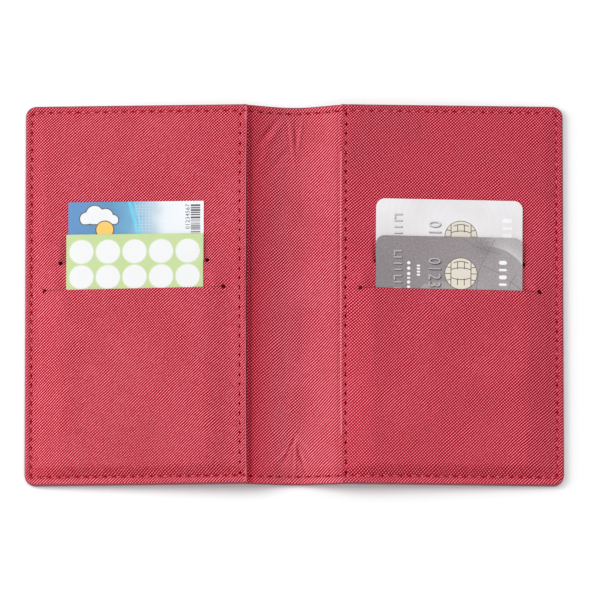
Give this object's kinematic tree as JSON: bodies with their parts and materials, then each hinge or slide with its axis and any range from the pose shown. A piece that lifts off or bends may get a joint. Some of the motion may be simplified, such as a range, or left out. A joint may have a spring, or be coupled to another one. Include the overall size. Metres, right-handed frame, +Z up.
{
  "type": "passport holder wallet",
  "caption": "Open folding passport holder in cross-hatched red leather, with a side-loading passport pocket and slit card slots on each cover, holding bank cards, a ticket and stickers.",
  "frame": {"origin": "middle of the footprint on the table when the wallet lies open", "axes": "+X from the left cover to the right cover, +Y towards the end the cards slide out of, +Z up from the table"},
  "size_m": [0.198, 0.143, 0.0093],
  "materials": {
    "outer_leather": "cross-hatch embossed, soft sheen",
    "inner_leather": "cross-hatch embossed, soft sheen",
    "board": "raw grey-brown board",
    "tape": "woven tape",
    "slot_fabric": "plain weave",
    "thread": "twisted thread",
    "card_light_plastic": "satin laminate",
    "card_dark_plastic": "satin laminate",
    "chip_metal": "pale gold plated, fine grooves",
    "ticket_paper": "coated card",
    "sticker_backing": "matt release paper",
    "sticker_white": "matt paper"
  },
  "bodies": {
    "cover_right": {"outer_cover_right": "outer_leather", "stiffener_board_right": "board", "inner_lining_right": "inner_leather", "pocket_panel_right": "inner_leather", "flap_edge_tape_right": "tape", "card_slot_lining_upper_right": "slot_fabric", "card_slot_lining_lower_right": "slot_fabric", "perimeter_thread_right": "thread", "flap_thread_right": "thread"},
    "spine_right": {"outer_spine_right": "outer_leather", "inner_lining_spine_right": "inner_leather", "perimeter_thread_spine_right": "thread"},
    "spine_left": {"outer_spine_left": "outer_leather", "inner_lining_spine_left": "inner_leather", "perimeter_thread_spine_left": "thread"},
    "cover_left": {"outer_cover_left": "outer_leather", "stiffener_board_left": "board", "inner_lining_left": "inner_leather", "pocket_panel_left": "inner_leather", "flap_edge_tape_left": "tape", "card_slot_lining_upper_left": "slot_fabric", "card_slot_lining_lower_left": "slot_fabric", "perimeter_thread_left": "thread", "flap_thread_left": "thread"},
    "card_light": {"bank_card_light": "card_light_plastic", "chip_contact_light": "chip_metal"},
    "card_dark": {"bank_card_dark": "card_dark_plastic", "chip_contact_dark": "chip_metal"},
    "ticket": {"ticket_card": "ticket_paper"},
    "stickers": {"sticker_sheet": "sticker_backing", "sticker_dots": "sticker_white"}
  },
  "joints": [
    {"name": "cover_hinge_right", "type": "hinge", "parent": "cover_right", "child": "spine_right", "pos_m": [0.0173, 0, 0.0053], "axis": [0, 1, 0], "range_deg": [0, 17.76]},
    {"name": "spine_fold", "type": "hinge", "parent": "spine_right", "child": "spine_left", "pos_m": [0, 0, 0.00527], "axis": [0, 1, 0], "range_deg": [0, 150.84]},
    {"name": "cover_hinge_left", "type": "hinge", "parent": "spine_left", "child": "cover_left", "pos_m": [-0.0173, 0, 0.0053], "axis": [0, 1, 0], "range_deg": [0, 17.76]},
    {"name": "light_card_slide", "type": "slide", "parent": "cover_right", "child": "card_light", "axis": [0, 1, 0], "range_m": [0, 0.0621]},
    {"name": "dark_card_slide", "type": "slide", "parent": "cover_right", "child": "card_dark", "axis": [0, 1, 0], "range_m": [0, 0.0663]},
    {"name": "ticket_slide", "type": "slide", "parent": "cover_left", "child": "ticket", "axis": [0, 1, 0], "range_m": [0, 0.0629]},
    {"name": "sticker_sheet_slide", "type": "slide", "parent": "cover_left", "child": "stickers", "axis": [0, 1, 0], "range_m": [0, 0.0651]}
  ],
  "couplings": [
    {"joint": "cover_hinge_right", "follows": "spine_fold", "ratio": 0.11759},
    {"joint": "cover_hinge_left", "follows": "spine_fold", "ratio": 0.11759}
  ]
}
